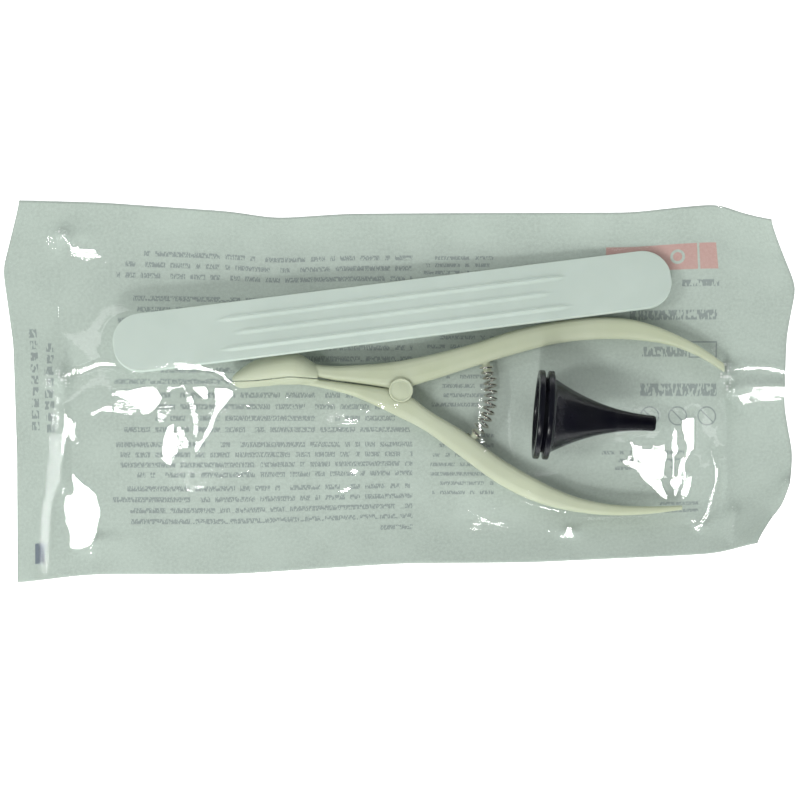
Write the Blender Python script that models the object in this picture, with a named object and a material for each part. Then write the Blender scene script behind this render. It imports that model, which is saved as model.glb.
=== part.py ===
"""A sterile ear, nose and throat examination kit: a peel pouch, paper behind and clear film in front,
that holds a ribbed tongue depressor, a sprung nasal speculum and an ear speculum for an otoscope.

Metres, +Z up. The pouch lies flat on its paper, with its peel end at +X. The origin is the middle of
the paper's underside, and the nasal speculum's rivet stands almost on it.
"""

import math

import bmesh
import bpy
import numpy as np
from mathutils import Euler, Matrix, Vector
from mathutils.bvhtree import BVHTree

MM = 0.001
GAP = 0.3 * MM  # between pieces that touch

# Pouch
POUCH_LENGTH = 250 * MM
POUCH_WIDTH = 120 * MM
PAPER_THICK = 0.3 * MM
FILM_THICK = 0.4 * MM
FILM_REST = PAPER_THICK + GAP  # underside of the film where it is sealed
LEFT_SEAL = (-118 * MM, -109 * MM)  # the fused band, which stays on the paper
FILM_START = -108.7 * MM
PEEL_AXIS = Vector((-108.85 * MM, 0, 0.95 * MM))  # level with the fused band's top
RIGHT_SEAL_X = 114 * MM
SIDE_SEAL_Y = 51 * MM

# Nasal speculum
PIVOT = Vector((0.3 * MM, 0.2 * MM, 0))
LEVER_BASE = 1.8 * MM
LEVER_TOP = 7.3 * MM
LEVER_MID = (LEVER_BASE + LEVER_TOP) / 2
EAR_RADIUS = 3.5 * MM  # so the rivet head covers the gap round it
PIN_RADIUS = 2.0 * MM
HEAD_RADIUS = 3.85 * MM
BLADE_WALL = 1.0 * MM
SQUEEZE = math.radians(9)
NASAL_SHIFT = -6 * MM
WIRE_RADIUS = 0.3 * MM
COIL_RADIUS = 2.0 * MM
COIL_TURNS = 12
PEG_RADIUS = 1.2 * MM

# Tongue depressor
DEPRESSOR_LENGTH = 179 * MM
DEPRESSOR_WIDTH = 19.4 * MM
DEPRESSOR_THICK = 1.6 * MM
DEPRESSOR_CORNER = 8.9 * MM
DEPRESSOR_AT = Vector((-2.2 * MM, 25.3 * MM, 8.7 * MM))
DEPRESSOR_TURN = (math.radians(-17), math.radians(2.9), math.radians(7.2))
DEPRESSOR_SHIFT = 3 * MM
RIB_WIDTH = 2.3 * MM
RIB_HEIGHT = 0.6 * MM

# Ear speculum
CONE_LENGTH = 38.1 * MM
FLANGE_RADIUS = 14.1 * MM
RIM_THICK = 1.9 * MM
RIM_GAP = 1.1 * MM
CONE_WALL = 0.9 * MM
CONE_BACK = Vector((43.0 * MM, -7.4 * MM, 14.9 * MM))
CONE_TURN = math.radians(-4.5)
CONE_DIP = math.radians(1.5)


def material(name, colour, roughness, metallic=0.0, alpha=1.0):
    made = bpy.data.materials.new(name)
    made.use_nodes = True
    shader = made.node_tree.nodes["Principled BSDF"]
    shader.inputs["Base Color"].default_value = (*colour, 1)
    shader.inputs["Roughness"].default_value = roughness
    shader.inputs["Metallic"].default_value = metallic
    shader.inputs["Alpha"].default_value = alpha
    return made


def place(name, points, faces, look=None):
    """A mesh object of these points and faces, with its faces turned out."""
    mesh = bpy.data.meshes.new(name)
    mesh.from_pydata([tuple(p) for p in points], [], faces)
    work = bmesh.new()
    work.from_mesh(mesh)
    bmesh.ops.recalc_face_normals(work, faces=work.faces)
    work.to_mesh(mesh)
    work.free()
    piece = bpy.data.objects.new(name, mesh)
    bpy.context.collection.objects.link(piece)
    if look:
        mesh.materials.append(look)
    return piece


def smooth(piece, angle=35):
    piece.data.shade_smooth()
    piece.data.set_sharp_from_angle(angle=math.radians(angle))
    return piece


def with_origin(piece, point):
    """Moves a piece's origin to a point, such as one on its joint's axis, and leaves its shape in place."""
    piece.data.transform(Matrix.Translation(-point))
    piece.location = point
    bpy.context.view_layer.update()
    return piece


def joined_loops(loops, ring=False):
    """Points and faces of a skin over equal closed loops, capped at both ends unless it closes on itself."""
    count = len(loops[0])
    points = [p for loop in loops for p in loop]
    faces = []
    spans = len(loops) if ring else len(loops) - 1
    for i in range(spans):
        a, b = i * count, (i + 1) % len(loops) * count
        for k in range(count):
            n = (k + 1) % count
            faces.append((a + k, a + n, b + n, b + k))
    if not ring:
        faces.append(tuple(range(count)))
        faces.append(tuple(range(len(points) - count, len(points))))
    return points, faces


def circle(count, radius=1.0, phase=0.0):
    turn = np.linspace(0, 2 * math.pi, count, endpoint=False) + phase
    return radius * np.cos(turn), radius * np.sin(turn)


def prism(name, outline, low, high, look=None):
    """A straight block over a closed outline in the XY plane."""
    loops = [[(x, y, z) for x, y in outline] for z in (low, high)]
    return place(name, *joined_loops(loops), look)


def cylinder(name, start, end, radius, sides=32):
    """A cylinder between two points."""
    axis = (end - start).normalized()
    across = axis.orthogonal().normalized()
    other = axis.cross(across)
    xs, ys = circle(sides, radius)
    loops = [[p + across * x + other * y for x, y in zip(xs, ys)] for p in (start, end)]
    return place(name, *joined_loops(loops))


def combine(piece, other, how):
    """Unites or cuts a piece with another, which then only guides the shape."""
    other.hide_render = True
    other.display_type = "WIRE"
    step = piece.modifiers.new(f"{how.lower()} {other.name}", "BOOLEAN")
    step.operation = how
    step.solver = "EXACT"
    step.object = other


def bevel(piece, width, segments=2):
    edge = piece.modifiers.new("soft edges", "BEVEL")
    edge.width = width
    edge.segments = segments
    edge.limit_method = "ANGLE"
    edge.angle_limit = math.radians(40)
    return piece


def through(stations, count):
    """Evenly spaced rows of a smooth curve through the stations, whose first column always grows."""
    table = np.array(stations, float)
    at = table[:, 0]
    slopes = np.gradient(table, at, axis=0)
    wanted = np.linspace(at[0], at[-1], count)
    rows = []
    for x in wanted:
        i = min(int(np.searchsorted(at, x, side="right")) - 1, len(at) - 2)
        span = at[i + 1] - at[i]
        t = (x - at[i]) / span
        rows.append(
            (2 * t**3 - 3 * t**2 + 1) * table[i]
            + (t**3 - 2 * t**2 + t) * span * slopes[i]
            + (3 * t**2 - 2 * t**3) * table[i + 1]
            + (t**3 - t**2) * span * slopes[i + 1]
        )
    return np.array(rows)


# ---------------------------------------------------------------- pouch


def paper_backing(look):
    """The paper, with the fused left seal standing on it as a thicker band."""
    end, top, band = POUCH_LENGTH / 2, PAPER_THICK, FILM_REST + GAP
    low, high = LEFT_SEAL
    profile = [(-end, 0), (end, 0), (end, top), (high, top), (high, band), (low, band)]
    profile += [(low, top), (-end, top)]
    loops = [[(x, y, z) for x, z in profile] for y in (-POUCH_WIDTH / 2, POUCH_WIDTH / 2)]
    return place("paper_backing", *joined_loops(loops), look)


def height_above(trees, x, y):
    """The highest surface of any of the trees above a point of the table."""
    top = 0.0
    for tree in trees:
        hit = tree.ray_cast(Vector((x, y, 0.2)), Vector((0, 0, -1)))[0]
        if hit is not None:
            top = max(top, hit.z)
    return top


def between(places, count):
    """The places with others set evenly between them, count steps to each gap."""
    steps = np.arange((len(places) - 1) * count + 1) / count
    return np.interp(steps, np.arange(len(places)), places)


def film_heights(xs, ys, trees):
    """The film as a skin stretched over the contents: nowhere lower than they reach at any pose, flat
    on the seals, and level with the mean of its neighbours wherever nothing holds it up."""
    fine = 3
    fine_x = between(xs, fine)
    fine_y = between(ys, fine)
    tops = np.array([[height_above(trees, x, y) for y in fine_y] for x in fine_x])
    padded = np.pad(tops, fine)
    held = np.zeros((len(xs), len(ys)))
    for i in range(len(xs)):
        for j in range(len(ys)):
            around = padded[i * fine : (i + 2) * fine + 1, j * fine : (j + 2) * fine + 1]
            held[i, j] = around.max()
    held = np.where(held > 0, held + 1.5 * GAP, FILM_REST)
    free = (xs[:, None] < RIGHT_SEAL_X) & (abs(ys[None, :]) < SIDE_SEAL_Y)
    free[0, :] = False
    heights = held.copy()
    for _ in range(1500):
        mean = np.zeros_like(heights)
        mean[1:-1, 1:-1] = (
            heights[:-2, 1:-1] + heights[2:, 1:-1] + heights[1:-1, :-2] + heights[1:-1, 2:]
        ) / 4
        heights = np.where(free, np.maximum(held, mean), FILM_REST)
    return heights


def film_front(look, trees):
    near_hinge = FILM_START + np.arange(6) * 2.6 * MM
    xs = np.concatenate([near_hinge, np.linspace(near_hinge[-1] + 4 * MM, POUCH_LENGTH / 2, 35)])
    columns, rows = len(xs), 20
    ys = np.linspace(-POUCH_WIDTH / 2, POUCH_WIDTH / 2, rows)
    low = film_heights(xs, ys, trees)
    points = []
    for lift in (0, FILM_THICK):
        points += [(x, y, low[i, j] + lift) for i, x in enumerate(xs) for j, y in enumerate(ys)]
    layer = columns * rows
    faces = []
    for i in range(columns - 1):
        for j in range(rows - 1):
            a, b = i * rows + j, (i + 1) * rows + j
            for quad in ((a, b, b + 1), (a, b + 1, a + 1)):
                faces.append(quad)
                faces.append(tuple(layer + k for k in reversed(quad)))
    rim = [i * rows for i in range(columns)]
    rim += [(columns - 1) * rows + j for j in range(1, rows)]
    rim += [i * rows + rows - 1 for i in range(columns - 2, -1, -1)]
    rim += [j for j in range(rows - 2, 0, -1)]
    for a, b in zip(rim, rim[1:] + rim[:1]):
        faces.append((a, b, layer + b, layer + a))
    return with_origin(smooth(place("film_front", points, faces, look), 60), PEEL_AXIS)


# ---------------------------------------------------------------- tongue depressor


def rounded_strip(length, width, corner, steps):
    """The outline of a strip whose four corners are arcs."""
    outline = []
    for sign_x, sign_y, start in ((1, -1, -90), (1, 1, 0), (-1, 1, 90), (-1, -1, 180)):
        centre_x = sign_x * (length / 2 - corner)
        centre_y = sign_y * (width / 2 - corner)
        for k in range(steps + 1):
            turn = math.radians(start + 90 * k / steps)
            outline.append((centre_x + corner * math.cos(turn), centre_y + corner * math.sin(turn)))
    return outline


def depressor_frame():
    return Matrix.Translation(DEPRESSOR_AT) @ Euler(DEPRESSOR_TURN, "XYZ").to_matrix().to_4x4()


def tongue_depressor(look):
    outline = rounded_strip(DEPRESSOR_LENGTH, DEPRESSOR_WIDTH, DEPRESSOR_CORNER, 8)
    blade = prism("tongue_depressor", outline, 0, DEPRESSOR_THICK, look)
    bevel(blade, 0.35 * MM)
    ribs = ((113 * MM, 0, 4.1 * MM), (103 * MM, 0, -0.8 * MM), (113 * MM, 0.5 * MM, -5.9 * MM))
    for number, (length, along, across) in enumerate(ribs):
        strip = rounded_strip(length, RIB_WIDTH, RIB_WIDTH * 0.48, 3)
        top = DEPRESSOR_THICK + RIB_HEIGHT
        rib = prism(f"guide_rib_{number}", strip, DEPRESSOR_THICK / 2, top)
        rib.data.transform(Matrix.Translation((along, across, 0)))
        bevel(rib, 0.3 * MM)
        rib.parent = blade
        combine(blade, rib, "UNION")
    blade.matrix_world = depressor_frame()
    return smooth(blade)


# ---------------------------------------------------------------- ear speculum


def cone_radius(along):
    """The trumpet curve of the cone's outside, from the second rim to the tip."""
    start = 2 * RIM_THICK + RIM_GAP
    share = (along - start) / (CONE_LENGTH - start)
    return (2.5 + 9.5 * (1 - share) ** 2.1) * MM


def ear_speculum(look):
    chamfer = 0.25 * MM
    neck = 12.3 * MM
    outer = []
    for start in (0, RIM_THICK + RIM_GAP):
        end = start + RIM_THICK
        outer += [(start, FLANGE_RADIUS - chamfer), (start + chamfer, FLANGE_RADIUS)]
        outer += [(end - chamfer, FLANGE_RADIUS), (end, FLANGE_RADIUS - chamfer), (end, neck)]
        if start == 0:
            outer.append((RIM_THICK + RIM_GAP, neck))
    cone_start = 2 * RIM_THICK + RIM_GAP
    stations = [cone_start + (CONE_LENGTH - 0.9 * MM - cone_start) * k / 9 for k in range(10)]
    outer[-1] = (cone_start, cone_radius(cone_start))
    outer += [(x, cone_radius(x)) for x in stations[1:]] + [(CONE_LENGTH, 2.05 * MM)]
    inner = [(CONE_LENGTH, 1.6 * MM)]
    inner += [(x, cone_radius(x) - CONE_WALL) for x in reversed(stations[::2])]
    inner.append((0, cone_radius(cone_start) - CONE_WALL + 0.3 * MM))
    ys, zs = circle(32)
    loops = [[(x, r * y, r * z) for y, z in zip(ys, zs)] for x, r in outer + inner]
    cone = place("ear_speculum", *joined_loops(loops, ring=True), look)
    cone.location = CONE_BACK
    cone.rotation_euler = (0, CONE_DIP, CONE_TURN)
    return smooth(cone, 30)


# ---------------------------------------------------------------- nasal speculum

# Where the two levers meet when the blades are shut: X and Y in millimetres.
SEAM = ((-56, 3.0), (-46, 3.3), (-35, 4.5), (-26, 3.9), (-4.5, 1.0), (0.3, 0.2))
# X, inner edge, outer edge and thickness along each lever, in millimetres, from shank to handle tip.
UPPER_BAR = (
    (-32.5, 6.6, 10.6, 5.0),
    (-28, 4.9, 8.7, 5.4),
    (-22.4, 3.6, 8.0, 5.5),
    (-14.7, 2.6, 8.2, 5.5),
    (-7, 1.55, 8.7, 5.5),
    (0.6, 0.6, 9.7, 5.5),
    (4.4, 1.75, 10.4, 5.5),
    (11.2, 3.8, 11.9, 5.5),
    (22.4, 7.4, 14.8, 5.4),
    (37.8, 12.1, 19.7, 5.2),
    (51, 15.3, 22.4, 5.0),
    (63.5, 16.5, 23.6, 4.8),
    (75, 16.3, 22.6, 4.5),
    (88.5, 13.9, 17.8, 4.0),
    (98, 9.6, 12.7, 3.4),
    (103.5, 6.0, 8.6, 2.8),
)
LOWER_BAR = (
    (-32.5, 4.2, 2.1, 5.0),
    (-28, 3.9, 1.6, 5.4),
    (-22.4, 3.2, 0.4, 5.5),
    (-14.7, 2.2, -1.7, 5.5),
    (-7, 1.15, -5.1, 5.5),
    (0.6, -0.3, -8.8, 5.5),
    (4.4, -2.5, -10.6, 5.5),
    (8.3, -5.6, -12.9, 5.5),
    (20, -12.7, -21.4, 5.4),
    (30.9, -20.7, -29.3, 5.2),
    (43.2, -28.0, -35.4, 5.0),
    (55.4, -33.6, -38.5, 4.7),
    (67.7, -36.3, -39.7, 4.2),
    (80, -36.9, -39.2, 3.6),
    (90, -36.6, -37.9, 2.6),
)
# X, centre Y, outer radius and centre Z of the shut blades, in millimetres, from the tip to the
# shoulder where they run into the shanks.
BLADES = (
    (-53.4, 3.3, 1.1, 6.5),
    (-52.4, 3.5, 2.1, 6.5),
    (-51.0, 3.8, 2.9, 6.5),
    (-47.3, 5.2, 4.05, 6.5),
    (-43.3, 6.05, 4.6, 6.5),
    (-37.0, 7.1, 5.1, 6.5),
    (-33.0, 7.0, 5.0, 6.5),
    (-31.0, 6.7, 4.5, 6.3),
    (-28.5, 5.9, 3.7, 5.5),
    (-26.2, 5.1, 3.0, 4.6),
)


def bar(name, rows, look):
    """A lever's bar: rounded sections across X, shut at both ends."""
    count, power = 16, 0.6
    ys, zs = circle(count, phase=math.pi / count)
    loops = []
    for x, inner, outer, thick in rows:
        middle, half = (inner + outer) / 2, abs(outer - inner) / 2
        loop = []
        for y, z in zip(ys, zs):
            side = math.copysign(abs(y) ** power, y)
            rise = math.copysign(abs(z) ** power, z)
            loop.append((x * MM, (middle + half * side) * MM, LEVER_MID + rise * thick / 2 * MM))
        loops.append(loop)
    return place(name, *joined_loops(loops), look)


def blade_shell(name):
    """The shut blades as one tapering trumpet, open at its mouth."""
    count = 28
    rows = through(BLADES, 20)
    ys, zs = circle(count, phase=math.pi / count)
    loops = []
    for inside in (False, True):
        skin = rows[1:][::-1] if inside else rows
        for x, centre, radius, height in skin:
            r = radius * MM - (BLADE_WALL if inside else 0)
            loops.append([(x * MM, centre * MM + r * y, height * MM + r * z) for y, z in zip(ys, zs)])
    return place(name, *joined_loops(loops))


def seam_block(name, side):
    """Everything on one side of the shut seam, left of the hub."""
    edge = [(x * MM, y * MM + side * GAP / 2) for x, y in SEAM]
    far = side * 30 * MM
    outline = edge + [(edge[-1][0], far), (edge[0][0], far)]
    if side < 0:
        outline.reverse()
    return prism(name, outline, -5 * MM, 20 * MM)


def lever(name, stations, side, peg, look):
    """One lever: side 1 is the upper one, whose pivot ear lies on top of the other's."""
    piece = bar(name, through(stations, 34), look)
    blade = blade_shell(f"{name}_blade_form")
    combine(blade, seam_block(f"{name}_seam", side), "INTERSECT")
    combine(piece, blade, "UNION")

    split = 0.15 * MM
    if side > 0:
        ear = (LEVER_MID, LEVER_TOP - 0.06 * MM)
        pocket = (0, LEVER_MID + split)
    else:
        ear = (LEVER_BASE + 0.06 * MM, LEVER_MID)
        pocket = (LEVER_MID - split, 20 * MM)
    up = Vector((0, 0, 1))
    disc = cylinder(f"{name}_ear", PIVOT + up * ear[0], PIVOT + up * ear[1], EAR_RADIUS, 40)
    combine(piece, disc, "UNION")
    room = EAR_RADIUS + GAP
    hollow = cylinder(f"{name}_pocket", PIVOT + up * pocket[0], PIVOT + up * pocket[1], room, 40)
    combine(piece, hollow, "DIFFERENCE")
    hole = cylinder(f"{name}_hole", PIVOT - up * MM, PIVOT + up * 20 * MM, PIN_RADIUS + GAP, 32)
    combine(piece, hole, "DIFFERENCE")
    start, end = peg
    combine(piece, cylinder(f"{name}_peg", start, end, PEG_RADIUS, 16), "UNION")
    return with_origin(smooth(piece), PIVOT)


def spring_line(count):
    """The bowed centre line of the handle spring, from the upper handle to the lower one."""
    route = ((7.4, 27.7), (3.5, 28.6), (-1.3, 29.0), (-5.4, 28.5), (-9.3, 27.0), (-14.3, 23.8))
    rows = through([(-y, x) for y, x in route], count)
    return [Vector((x * MM, -y * MM, LEVER_MID)) for y, x in rows]


def handle_spring(look):
    """A steel compression spring, wound about the bowed line."""
    per_turn, sides = 11, 6
    count = COIL_TURNS * per_turn + 1
    line = spring_line(count)
    up = Vector((0, 0, 1))
    wire = []
    for i, centre in enumerate(line):
        along = (line[min(i + 1, count - 1)] - line[max(i - 1, 0)]).normalized()
        out = along.cross(up)
        turn = 2 * math.pi * i / per_turn
        wire.append(centre + (out * math.cos(turn) + up * math.sin(turn)) * COIL_RADIUS)
    xs, ys = circle(sides, WIRE_RADIUS)
    loops = []
    for i, point in enumerate(wire):
        along = (wire[min(i + 1, count - 1)] - wire[max(i - 1, 0)]).normalized()
        across = (point - line[i]).normalized()
        other = along.cross(across).normalized()
        across = other.cross(along)
        loops.append([point + across * x + other * y for x, y in zip(xs, ys)])
    return smooth(place("handle_spring", *joined_loops(loops), look), 80)


def pivot_rivet(look):
    """Two heads and the pin between them, turned about the pivot."""
    top = LEVER_TOP + GAP
    base = PAPER_THICK + GAP
    profile = (
        (HEAD_RADIUS - 0.5 * MM, base),
        (HEAD_RADIUS, base + 0.4 * MM),
        (HEAD_RADIUS, LEVER_BASE - GAP),
        (PIN_RADIUS, LEVER_BASE - GAP),
        (PIN_RADIUS, top),
        (HEAD_RADIUS, top),
        (HEAD_RADIUS, top + 0.45 * MM),
        (HEAD_RADIUS - 0.3 * MM, top + 0.8 * MM),
        (HEAD_RADIUS - 0.9 * MM, top + 1.0 * MM),
        (HEAD_RADIUS - 2.2 * MM, top + 1.1 * MM),
    )
    xs, ys = circle(32)
    loops = [[(r * x, r * y, z) for x, y in zip(xs, ys)] for r, z in profile]
    rivet = place("pivot_rivet", *joined_loops(loops), look)
    rivet.location = PIVOT
    return smooth(rivet, 40)


# ---------------------------------------------------------------- the whole kit


def swept_trees(piece, motions):
    """Search trees of a piece's evaluated mesh at each of its motions."""
    graph = bpy.context.evaluated_depsgraph_get()
    shown = piece.evaluated_get(graph)
    mesh = shown.to_mesh()
    faces = [tuple(face.vertices) for face in mesh.polygons]
    points = [shown.matrix_world @ vertex.co for vertex in mesh.vertices]
    shown.to_mesh_clear()
    return [BVHTree.FromPolygons([move @ p for p in points], faces) for move in motions]


def turned_about_pivot(angle):
    return Matrix.Translation(PIVOT) @ Matrix.Rotation(angle, 4, "Z") @ Matrix.Translation(-PIVOT)


def build():
    for old in list(bpy.data.objects):
        bpy.data.objects.remove(old, do_unlink=True)
    paper = material("medical paper", (0.52, 0.59, 0.52), 0.85)
    film = material("clear film", (0.8, 0.85, 0.82), 0.12, alpha=0.3)
    white = material("white polystyrene", (0.72, 0.77, 0.74), 0.35)
    cream = material("cream moulded plastic", (0.70, 0.72, 0.58), 0.4)
    steel = material("spring steel", (0.6, 0.58, 0.55), 0.25, metallic=1.0)
    black = material("black gloss plastic", (0.012, 0.012, 0.017), 0.12)

    paper_backing(paper)
    depressor = tongue_depressor(white)
    cone = ear_speculum(black)
    rivet = pivot_rivet(cream)
    spring = handle_spring(steel)
    start, next_point = spring_line(20)[:2]
    before, end = spring_line(20)[-2:]
    upper_way = (start - next_point).normalized()
    lower_way = (end - before).normalized()
    upper_peg = (start - upper_way * 2 * MM, start + upper_way * 4 * MM)
    lower_peg = (end - lower_way * 2 * MM, end + lower_way * 3 * MM)
    upper = lever("upper_lever", UPPER_BAR, 1, upper_peg, cream)
    lower = lever("lower_lever", LOWER_BAR, -1, lower_peg, cream)

    still = Matrix.Identity(4)
    shift = Matrix.Translation((NASAL_SHIFT, 0, 0))
    slides = [still, shift]
    along = depressor_frame().to_3x3() @ Vector((1, 0, 0)) * DEPRESSOR_SHIFT
    trees = swept_trees(cone, [still])
    trees += swept_trees(rivet, slides) + swept_trees(spring, slides)
    trees += swept_trees(depressor, [Matrix.Translation(along * k) for k in (-1, 0, 1)])
    for piece, sense in ((upper, -1), (lower, 1)):
        swings = [turned_about_pivot(sense * SQUEEZE * k / 3) for k in range(4)]
        trees += swept_trees(piece, [slide @ swing for slide in slides for swing in swings])
    film_front(film, trees)


build()
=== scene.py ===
"""The looks of the sterile examination kit: the wrinkled pouch, its print and seals, and the moulded
instruments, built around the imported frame. Lengths are in metres unless a table says millimetres."""

import math

import bpy
import numpy as np
from mathutils import Euler, Matrix, Vector
from mathutils.bvhtree import BVHTree


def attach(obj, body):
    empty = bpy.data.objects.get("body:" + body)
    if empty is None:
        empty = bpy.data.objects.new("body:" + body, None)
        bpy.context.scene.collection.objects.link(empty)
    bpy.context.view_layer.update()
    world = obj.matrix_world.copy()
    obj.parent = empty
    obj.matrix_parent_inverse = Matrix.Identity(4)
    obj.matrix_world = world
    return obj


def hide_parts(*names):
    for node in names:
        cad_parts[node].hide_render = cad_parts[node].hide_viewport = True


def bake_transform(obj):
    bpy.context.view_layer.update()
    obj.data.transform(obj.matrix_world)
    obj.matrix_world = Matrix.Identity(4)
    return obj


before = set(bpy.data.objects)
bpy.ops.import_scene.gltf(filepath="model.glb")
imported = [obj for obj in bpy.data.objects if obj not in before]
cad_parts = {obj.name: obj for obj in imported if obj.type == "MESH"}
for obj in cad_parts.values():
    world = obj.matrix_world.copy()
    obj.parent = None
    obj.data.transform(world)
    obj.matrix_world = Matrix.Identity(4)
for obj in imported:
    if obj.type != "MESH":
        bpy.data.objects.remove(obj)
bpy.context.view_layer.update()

MM = 0.001
POUCH_LENGTH, POUCH_WIDTH = 0.250, 0.120
PAPER_THICK = 0.12 * MM
# How the instruments move under the film: the levers' pivot and swing, and the slides.
PIVOT = Vector((0.3 * MM, 0.2 * MM, 0))
SQUEEZE = math.radians(9)
NASAL_SHIFT = -6 * MM
DEPRESSOR_SHIFT = Vector((0.990844, 0.125172, -0.050593)) * 3 * MM
# The camera, how wide it sees the table, and the two lamps that the film's glints mirror.
CAMERA_AT = Vector((0, -0.0029, 1.2))
VIEW_WIDTH = 0.2564
FRONT_LAMP = Vector((-0.10, -0.84, 1.0))
SIDE_LAMP = Vector((-0.84, -0.12, 1.0))

# ------------------------ node trees


def new_material(name):
    """An empty material, its node tree and its output node."""
    made = bpy.data.materials.new(name)
    made.use_nodes = True
    tree = made.node_tree
    tree.nodes.clear()
    return made, tree, tree.nodes.new("ShaderNodeOutputMaterial")


def feed(tree, socket, value):
    """Links a socket, or sets a number or colour."""
    if isinstance(value, bpy.types.NodeSocket):
        tree.links.new(value, socket)
    else:
        socket.default_value = value


def node(tree, kind, inputs=(), output=0, **settings):
    """Adds a node, with its settings and its inputs by name or number, and gives one output."""
    made = tree.nodes.new(kind)
    for key, value in settings.items():
        setattr(made, key, value)
    for key, value in dict(inputs).items():
        feed(tree, made.inputs[key], value)
    return made.outputs[output]


def calc(tree, operation, a, b=0.0, c=0.0, clamp=False):
    """Adds one step of arithmetic."""
    made = tree.nodes.new("ShaderNodeMath")
    made.operation = operation
    made.use_clamp = clamp
    for socket, value in zip(made.inputs, (a, b, c)):
        feed(tree, socket, value)
    return made.outputs[0]


def either(tree, a, b):
    """The union of two masks, the first of which may be missing."""
    return b if a is None else calc(tree, "MAXIMUM", a, b)


def blended(tree, share, a, b):
    """Colour a where share is 0 and colour b where it is 1."""
    made = tree.nodes.new("ShaderNodeMix")
    made.data_type = "RGBA"
    feed(tree, made.inputs["Factor"], share)
    feed(tree, made.inputs["A"], a)
    feed(tree, made.inputs["B"], b)
    return made.outputs["Result"]


def ramp(tree, value, low, high, out_low=0.0, out_high=1.0):
    """A smooth step from out_low to out_high, kept to that range."""
    values = {"Value": value, "From Min": low, "From Max": high, "To Min": out_low, "To Max": out_high}
    return node(tree, "ShaderNodeMapRange", values, interpolation_type="SMOOTHSTEP")


def noise(tree, place, scale, detail=2.0, rough=0.5):
    values = {"Vector": place, "Scale": scale, "Detail": detail, "Roughness": rough}
    return node(tree, "ShaderNodeTexNoise", values)


def object_place(tree):
    return node(tree, "ShaderNodeTexCoord", output="Object")


def bump(tree, height, strength, distance, normal=None):
    values = {"Height": height, "Strength": strength, "Distance": distance}
    if normal:
        values["Normal"] = normal
    return node(tree, "ShaderNodeBump", values)


def principled(tree, output, values):
    """Gives the material a Principled shader with these inputs."""
    tree.links.new(node(tree, "ShaderNodeBsdfPrincipled", values), output.inputs["Surface"])


# ------------------------ print on the paper

# Greeked text on the flat pouch, in millimetres: left, right, top row, rows, row pitch, mark height.
TEXT_BLOCKS = (
    (-94, 4, 45.6, 3, 3.6, 1.7),
    (-92, -12, 31, 3, 3.6, 1.7),
    (-92, 4, 15, 4, 3.6, 1.7),
    (-90, 4, -0.2, 4, 3.7, 1.7),
    (-93, 4, -16.2, 4, 3.3, 1.7),
    (-94, 4, -30.6, 4, 3.6, 1.7),
    (-10, 4, -45.4, 1, 3.6, 1.7),
    (7, 30, 45.2, 3, 2.5, 1.3),
    (8, 30, 18.2, 2, 3.0, 1.3),
    (9, 30, 5.5, 4, 3.0, 1.3),
    (8, 30, -13.5, 7, 3.3, 1.3),
    (86, 102, 36.4, 1, 4.0, 2.2),
    (73, 102, 26.6, 1, 5.0, 3.2),
    (74, 92, 14.6, 1, 5.0, 3.2),
    (76, 102, 2.8, 1, 5.0, 4.0),
    (62, 91, -19.5, 3, 2.8, 1.3),
    (82, 96, -38.5, 2, 2.8, 1.3),
    (-119.6, -116.9, 20, 9, 3.7, 2.7),
    (-114.9, -111.6, 15.5, 8, 3.7, 2.7),
)
# Rows taller than this are drawn in larger, bolder marks.
BOLD_HEIGHT = 2
RINGS = ((80, -8), (89, -8), (98.6, -8))
RING_RADIUS = 3.1
# Boxes on the flat pouch, in millimetres: left, right, bottom and top.
FIGURE_BOX = (92.6, 102, 10.6, 16)
RED_BLOCK = (66, 102, 39.5, 48)
RED_GAP = (95.5, 96.2, 39, 49)
RED_RING = (89, 43.8)
INDICATOR = (-118.8, -115.4, -54.8, -48.4)
INK = (0.13, 0.15, 0.17, 1)
RED_INK = (0.62, 0.16, 0.15, 1)
INDICATOR_INK = (0.09, 0.11, 0.17, 1)


def inside(tree, value, low, high, soft=0.12):
    """1 between low and high, 0 outside, with soft ends."""
    rise = ramp(tree, value, low - soft, low + soft)
    fall = ramp(tree, value, high - soft, high + soft, 1.0, 0.0)
    return calc(tree, "MULTIPLY", rise, fall)


def in_box(tree, u, v, box, soft=0.12):
    """1 inside a box, 0 outside, with soft edges."""
    left, right, bottom, top = box
    return calc(tree, "MULTIPLY", inside(tree, u, left, right, soft), inside(tree, v, bottom, top, soft))


def flat_place(tree):
    """The place on the flat pouch, in millimetres, as u, v and one vector."""
    flat = node(tree, "ShaderNodeUVMap", uv_map="flat", output="UV")
    parts = tree.nodes.new("ShaderNodeSeparateXYZ")
    tree.links.new(flat, parts.inputs[0])
    u = calc(tree, "MULTIPLY", parts.outputs[0], 1000.0)
    v = calc(tree, "MULTIPLY", parts.outputs[1], 1000.0)
    return u, v, node(tree, "ShaderNodeCombineXYZ", {"X": u, "Y": v})


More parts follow.
